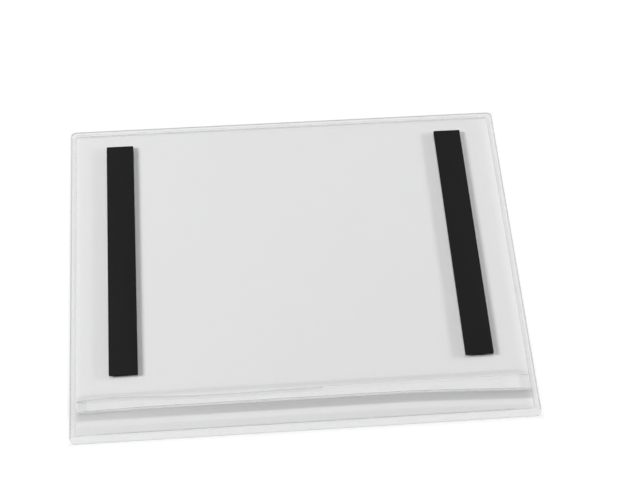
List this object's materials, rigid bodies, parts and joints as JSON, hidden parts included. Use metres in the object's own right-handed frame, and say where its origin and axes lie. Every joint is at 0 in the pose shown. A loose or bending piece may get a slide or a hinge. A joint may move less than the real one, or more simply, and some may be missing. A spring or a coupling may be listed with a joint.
{
  "type": "magnetic document pocket",
  "caption": "Flat clear film pocket with a welded border, an entry slit across its back and flat magnet strips that hold it to a steel surface.",
  "frame": {"origin": "middle of the pocket's outline, on the surface that the pocket lies on", "axes": "+X along the long side, +Y up the page away from the entry slit, +Z out of the back through the magnets"},
  "size_m": [0.33, 0.264, 0.0032],
  "materials": {
    "clear_film": "clear soft PVC film, smooth and glossy",
    "welded_film": "clear film melted into one border, glossy with a pressed line",
    "magnet_rubber": "black flexible magnet strip, flat and matt"
  },
  "bodies": {
    "root": {"weld_rim": "welded_film", "front_sheet": "clear_film", "entry_strip": "clear_film", "back_sheet": "clear_film", "left_magnet_strip": "magnet_rubber", "right_magnet_strip": "magnet_rubber"}
  },
  "joints": []
}
